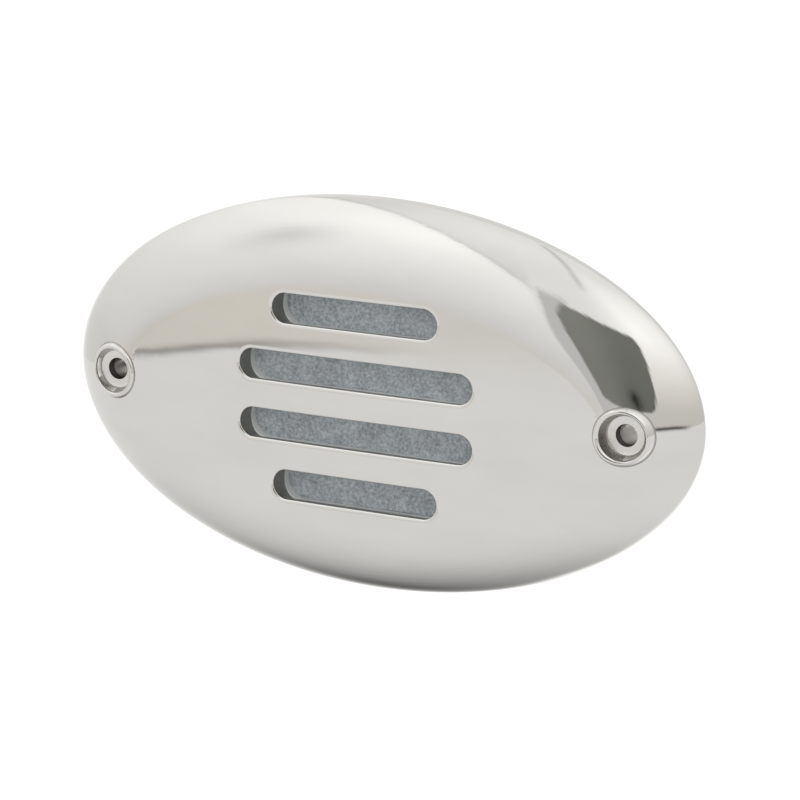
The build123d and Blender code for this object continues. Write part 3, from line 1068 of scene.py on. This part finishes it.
class FILTER_OT_finishes(Operator):
    """Give the housing, the cassette, the seals and the fasteners their finishes"""

    bl_idname = "filter.finishes"
    bl_label = "Finishes"

    def execute(self, context):
        colours = context.scene.filter_colours
        plastic = moulded("Grained black polyamide", colours.plastic, 0.35 * MM, 0.5, 0.03 * MM)
        tube = moulded("Satin black polyamide", colours.tube, 0.8 * MM, 0.38, 0.01 * MM)
        rubber = moulded("Black nitrile rubber", colours.rubber, 0.5 * MM, 0.62, 0.02 * MM)
        potting = moulded("Cast orange polyurethane", colours.potting, 2.0 * MM, 0.45, 0.03 * MM)
        glue = moulded("Hardened hot-melt glue", colours.glue, 1.0 * MM, 0.35, 0.02 * MM)
        wire = drawn_steel("Drawn stainless wire", colours.wire, 0.3 * MM, 0.4)
        turned = drawn_steel("Turned stainless steel", colours.wire, 0.5 * MM, 0.3)
        paper = filter_paper(colours)
        finishes = {
            "rim_gasket": rubber,
            "insect_screen": wire,
            "cassette_frame": plastic,
            "side_seal": rubber,
            "potting_seal": potting,
            "pleat_pack": paper,
            "spacer_beads": glue,
            "rear_screen": wire,
            "housing_seal": rubber,
            "rear_housing": plastic,
            "housing_screws": turned,
            "lock_washers": turned,
            "outlet_tube": tube,
            "outlet_grommet": rubber,
            "retaining_ring": turned,
            "drain_valve": rubber,
        }
        for node, material in finishes.items():
            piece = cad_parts[node]
            piece.data.materials.clear()
            piece.data.materials.append(material)
        return {"FINISHED"}


# ---- Stage --------------------------------------------------------------

# Soft round glows and shades: azimuth, elevation and spread in degrees, and strength.
FLOOR_SHADES = ((-113, -73, 24, -0.52), (-127, -56, 14, -0.44))
CEILING_GLOW = (-40, 62, 20, 0.14)
LEFT_GLOWS = (
    (-35, 50, 15, 0.12), (-48.6, 35.5, 7, -0.25), (-45, -9, 9, -0.07), (-132, 1, 12, 0.45),
)
RIGHT_GLOW = (44, 42, 8, 0.12)
CAMERA_SHADES = ((23.5, 7.5, 3.6, -0.16), (26.0, 3.5, 2.8, -0.09))


def line(tree, value, centre, width, strength):
    """A soft-edged line where a value passes its centre."""
    off = calculate(tree, "DIVIDE", calculate(tree, "SUBTRACT", value, centre), width)
    bell = calculate(tree, "EXPONENT", product(tree, off, off, -1.0))
    return product(tree, bell, strength)


def blend(tree, under, over, amount):
    """Lays one brightness over another by an amount."""
    return add_up(tree, under, product(tree, calculate(tree, "SUBTRACT", over, under), amount))


def toward(turn, rise):
    """The direction at an azimuth from straight ahead and an elevation, in radians."""
    return (math.sin(turn) * math.cos(rise), -math.cos(turn) * math.cos(rise), math.sin(rise))


def glow(tree, direction, azimuth, elevation, spread, strength):
    """A lamp's soft round glow through the tent's cloth, or a soft round shade."""
    along = add_node(
        tree, "ShaderNodeVectorMath", {"operation": "DOT_PRODUCT"}, i0=direction,
        i1=toward(math.radians(azimuth), math.radians(elevation)),
    )
    off = calculate(tree, "SUBTRACT", along.outputs["Value"], 1.0)
    width = 1 - math.cos(math.radians(spread))
    bell = calculate(tree, "EXPONENT", calculate(tree, "DIVIDE", off, width))
    return product(tree, bell, strength)


def beyond(tree, direction, normal):
    """Degrees by which a direction lies beyond a straight seam in the tent."""
    size = math.sqrt(sum(n * n for n in normal))
    side = add_node(
        tree, "ShaderNodeVectorMath", {"operation": "DOT_PRODUCT"}, i0=direction,
        i1=[n / size for n in normal],
    )
    return calculate(tree, "DEGREES", side.outputs["Value"])


def tent_walls(tree, direction, azimuth, elevation):
    """Brightness of the cloth walls, which meet at seams that run up and over."""
    ceiling = add_up(tree, 1.1, glow(tree, direction, *CEILING_GLOW))
    left = add_up(
        tree, soft_steps(tree, (elevation, -16, 66, 0.86, 1.36)),
        *(glow(tree, direction, *spot) for spot in LEFT_GLOWS),
    )
    over_seam = beyond(tree, direction, (0.966, 0.413, 0.564))
    near_seam = soft_steps(tree, (over_seam, 20, 0, 0.0, -0.13), (over_seam, -0.7, 0.7))
    left = blend(tree, left, ceiling, soft_steps(tree, (over_seam, -0.7, 0.7)))
    left = add_up(tree, left, near_seam, line(tree, over_seam, 0.0, 1.5, -0.1))

    lit = product(tree, soft_steps(tree, (azimuth, 12, 40), (azimuth, 110, 60, 0.25, 1.0)), 0.29)
    right = product(tree, add_up(tree, lit, 0.33), soft_steps(tree, (elevation, -6, 48)))
    right = add_up(tree, right, 0.76, glow(tree, direction, *RIGHT_GLOW))
    right = blend(tree, right, ceiling, soft_steps(tree, (elevation, 50, 80)))
    roof_seam = line(tree, beyond(tree, direction, (1.04, 0.264, -0.083)), 0.0, 1.3, -0.3)
    right = add_up(tree, right, product(tree, roof_seam, soft_steps(tree, (elevation, 52, 60))))
    return blend(tree, left, right, soft_steps(tree, (azimuth, -4, -1)))


def open_flap(tree, direction, azimuth, elevation, wall):
    """Cuts the front flap in the wall, with its frame and the dark room and camera beyond.

    Gives the wall's new brightness, and where the opening is.
    """
    side = add_up(tree, azimuth, soft_steps(tree, (elevation, 12, 36, 0.0, -2.2)))
    frame_strip = soft_steps(
        tree, (side, -4.0, -2.4), (azimuth, 9, 6), (elevation, 44, 38), (elevation, -9, -5),
    )
    wall = blend(tree, wall, 0.72, frame_strip)
    corner = calculate(tree, "SUBTRACT", elevation, product(tree, azimuth, 2.2))
    opening = soft_steps(
        tree, (azimuth, 1.2, 2.6), (azimuth, 39, 36.5), (elevation, 0, 2), (elevation, 39.5, 37),
        (corner, 30, 24), (add_up(tree, elevation, azimuth), 75, 71),
        (calculate(tree, "SUBTRACT", azimuth, elevation), 36, 32),
    )
    camera = add_up(tree, *(glow(tree, direction, *spot) for spot in CAMERA_SHADES))
    room = add_up(
        tree, 0.235, soft_steps(tree, (elevation, 5, 38, 0.0, 0.03)),
        soft_steps(tree, (azimuth, 5, 25, 0.05, -0.03)), camera,
    )
    return blend(tree, wall, room, opening), opening


def floor_edge(tree, azimuth, elevation):
    """The edge where the floor turns up into the walls.

    Gives how far a direction is above it, from 0 to 1, and how dark the gap along it is.
    """
    bends = (
        (-38.5, -31.5, 0.0, 0.26), (-34, -31, 0.0, -0.09), (-29, -20, 0.0, -0.12),
        (-15, 55, 0.0, 4.9), (55, 110, 0.0, 3.0),
    )
    edge = add_up(tree, -13.43, *(soft_steps(tree, (azimuth, *bend)) for bend in bends))
    height = calculate(tree, "SUBTRACT", elevation, edge)
    softness = add_up(
        tree, soft_steps(tree, (azimuth, -31, -21, 0.05, 0.8)),
        soft_steps(tree, (azimuth, 30, 40, 0.0, -0.5)),
    )
    above = soft_steps(tree, (calculate(tree, "DIVIDE", height, softness), -1, 1))
    gap_left = product(
        tree, soft_steps(tree, (azimuth, -60, -52), (azimuth, -23, -36)),
        line(tree, height, 0.0, 0.095, 0.48),
    )
    gap_right = product(
        tree, soft_steps(tree, (azimuth, 34, 38), (azimuth, 72, 54)),
        line(tree, height, 0.0, 1.3, 0.85),
    )
    return above, add_up(tree, gap_left, gap_right)


def behind_panel(tree, azimuth, elevation, level):
    """Lays the white sweep and the lit space behind the panel over the tent's brightness."""
    round_back = calculate(
        tree, "MAXIMUM", soft_steps(tree, (azimuth, 120, 150)),
        soft_steps(tree, (azimuth, -138, -150)),
    )
    sweep = product(
        tree, round_back, soft_steps(tree, (elevation, -25, -12), (elevation, 45, 25)),
    )
    level = blend(tree, level, 0.9, sweep)
    lit = calculate(
        tree, "MAXIMUM", soft_steps(tree, (azimuth, 105, 165), (elevation, -15, -35)),
        soft_steps(tree, (azimuth, -147, -172), (elevation, 12, -5)),
    )
    return blend(tree, level, 1.5, product(tree, lit, soft_steps(tree, (elevation, -79, -59))))


def tent_tint(tree, azimuth, elevation, above, opening):
    """Warm low on the walls, faintly green in the opening, and white elsewhere."""
    low_left = product(tree, above, soft_steps(
        tree, (elevation, 2, -12), (azimuth, -33, -24, 1.0, 0.5), (azimuth, -90, -60),
        (azimuth, 60, 30),
    ))
    low_right = product(tree, above, soft_steps(
        tree, (azimuth, 36, 40), (azimuth, 110, 80), (elevation, 40, 5),
    ), 0.7)
    warmth = calculate(tree, "MAXIMUM", low_left, low_right)
    tint = (1.0, 1.0, 1.0, 1.0)
    for amount, over in ((warmth, (1.035, 1.0, 0.935, 1.0)), (opening, (0.97, 1.0, 0.92, 1.0))):
        tint = add_node(
            tree, "ShaderNodeMix", {"data_type": "RGBA"}, i0=amount, i6=tint, i7=over,
        ).outputs[2]
    return tint


def tent(tree):
    """What gloss mirrors: a white cloth tent with a floor, seams, and an open front flap.

    Gives the brightness and the tint seen in each direction. Azimuth runs from straight
    ahead of the cover towards +X, and elevation up from level, both in degrees.
    """
    direction = add_node(tree, "ShaderNodeTexCoord").outputs["Generated"]
    split = add_node(tree, "ShaderNodeSeparateXYZ", Vector=direction)
    ahead = product(tree, split.outputs["Y"], -1.0)
    turn = calculate(tree, "ARCTAN2", split.outputs["X"], ahead)
    azimuth = calculate(tree, "DEGREES", turn)
    elevation = calculate(tree, "DEGREES", calculate(tree, "ARCSINE", split.outputs["Z"]))

    floor = add_up(tree, 0.965, *(glow(tree, direction, *spot) for spot in FLOOR_SHADES))
    wall = tent_walls(tree, direction, azimuth, elevation)
    wall, opening = open_flap(tree, direction, azimuth, elevation, wall)
    above, gap = floor_edge(tree, azimuth, elevation)
    level = blend(tree, floor, wall, above)
    level = product(tree, level, calculate(tree, "SUBTRACT", 1.0, gap))
    level = behind_panel(tree, azimuth, elevation, level)
    return level, tent_tint(tree, azimuth, elevation, above, opening)


def studio_world():
    """White for the camera, a plain soft dome for matt surfaces, and the tent for gloss."""
    world = bpy.data.worlds.new("Studio")
    bpy.context.scene.world = world
    world.use_nodes = True
    tree = world.node_tree
    tree.nodes.clear()
    path = add_node(tree, "ShaderNodeLightPath")
    level, tint = tent(tree)
    dome = add_node(tree, "ShaderNodeBackground", Color=linear("#f7f8fa"), Strength=0.9)
    mirrored = add_node(tree, "ShaderNodeBackground", Color=tint, Strength=level)
    white = add_node(tree, "ShaderNodeBackground", Color=(1.0, 1.0, 1.0, 1.0), Strength=1.0)
    lit = add_node(
        tree, "ShaderNodeMixShader", i0=path.outputs["Is Glossy Ray"],
        i1=dome.outputs["Background"], i2=mirrored.outputs["Background"],
    )
    seen = add_node(
        tree, "ShaderNodeMixShader", i0=path.outputs["Is Camera Ray"],
        i1=lit.outputs["Shader"], i2=white.outputs["Background"],
    )
    output = add_node(tree, "ShaderNodeOutputWorld")
    tree.links.new(seen.outputs["Shader"], output.inputs["Surface"])


def add_camera(scene, stage):
    """The camera, turned towards the middle of the object."""
    data = bpy.data.cameras.new("Camera")
    data.sensor_width = 36.0
    data.lens = data.sensor_width * stage.distance / stage.picture
    data.shift_x, data.shift_y = stage.shift_x, stage.shift_y
    data.clip_start, data.clip_end = 0.01, 50.0
    camera = bpy.data.objects.new("Camera", data)
    scene.collection.objects.link(camera)
    away = Vector(toward(stage.azimuth, stage.elevation))
    camera.location = away * stage.distance
    camera.rotation_euler = away.to_track_quat("Z", "Y").to_euler()
    scene.camera = camera


def sweep_paper(colours):
    """White sweep paper: matt, and lifted for the camera so that only the shadow shows."""
    material, tree, shader = new_material("White sweep paper")
    shader.inputs["Base Color"].default_value = colours.floor
    shader.inputs["Roughness"].default_value = 0.9
    path = add_node(tree, "ShaderNodeLightPath")
    tree.links.new(path.outputs["Is Camera Ray"], shader.inputs["Emission Strength"])
    shader.inputs["Emission Color"].default_value = (0.25, 0.25, 0.25, 1.0)
    return material


def add_floor(scene, stage, colours):
    """A floor some metres wide, well under the object."""
    bm = bmesh.new()
    bmesh.ops.create_grid(bm, x_segments=8, y_segments=8, size=3.0)
    bmesh.ops.translate(bm, verts=bm.verts[:], vec=(0.0, 0.0, -stage.floor_drop))
    mesh = bpy.data.meshes.new("floor")
    bm.to_mesh(mesh)
    bm.free()
    floor = bpy.data.objects.new("floor", mesh)
    scene.collection.objects.link(floor)
    mesh.materials.append(sweep_paper(colours))
    floor.visible_glossy = False


def add_lamp(scene, stage):
    """A round lamp in front and overhead, which gives the soft shadows."""
    data = bpy.data.lights.new("Overhead lamp", "AREA")
    data.energy = stage.lamp_power
    data.shape = "DISK"
    data.size = stage.lamp_size
    lamp = bpy.data.objects.new("Overhead lamp", data)
    lamp.location = stage.lamp_place
    lamp.rotation_euler = Vector(lamp.location).to_track_quat("Z", "Y").to_euler()
    lamp.visible_glossy = False
    scene.collection.objects.link(lamp)


class FILTER_OT_stage(Operator):
    """Set up the camera, the pale floor and the soft light"""

    bl_idname = "filter.stage"
    bl_label = "Stage"

    def execute(self, context):
        scene, stage = context.scene, context.scene.filter_stage
        scene.view_settings.view_transform = "Standard"
        add_camera(scene, stage)
        studio_world()
        add_floor(scene, stage, scene.filter_colours)
        add_lamp(scene, stage)
        return {"FINISHED"}


# ---- Panel and registration ---------------------------------------------

OPERATORS = (FILTER_OT_stage, FILTER_OT_cover, FILTER_OT_liner, FILTER_OT_felt, FILTER_OT_finishes)


class FILTER_PT_panel(Panel):
    """Lists the filter's pieces in the sidebar"""

    bl_idname = "FILTER_PT_panel"
    bl_label = "Air filter"
    bl_space_type = "VIEW_3D"
    bl_region_type = "UI"
    bl_category = "Air filter"

    def draw(self, context):
        for operator in OPERATORS:
            self.layout.operator(operator.bl_idname)
        for group in GROUPS:
            box = self.layout.box()
            settings = getattr(context.scene, group)
            for name in settings.bl_rna.properties.keys():
                if name not in ("rna_type", "name"):
                    box.prop(settings, name)


def register():
    """Registers the settings, the operators and the panel."""
    for group, settings in GROUPS.items():
        bpy.utils.register_class(settings)
        setattr(bpy.types.Scene, group, PointerProperty(type=settings))
    for operator in OPERATORS:
        bpy.utils.register_class(operator)
    bpy.utils.register_class(FILTER_PT_panel)


def unregister():
    """Takes them away again, in the opposite order."""
    bpy.utils.unregister_class(FILTER_PT_panel)
    for operator in reversed(OPERATORS):
        bpy.utils.unregister_class(operator)
    for group, settings in reversed(GROUPS.items()):
        delattr(bpy.types.Scene, group)
        bpy.utils.unregister_class(settings)


def main():
    """Builds the stage and every piece."""
    register()
    bpy.ops.filter.stage()
    bpy.ops.filter.cover()
    bpy.ops.filter.liner()
    bpy.ops.filter.felt()
    bpy.ops.filter.finishes()


if __name__ == "__main__":
    main()
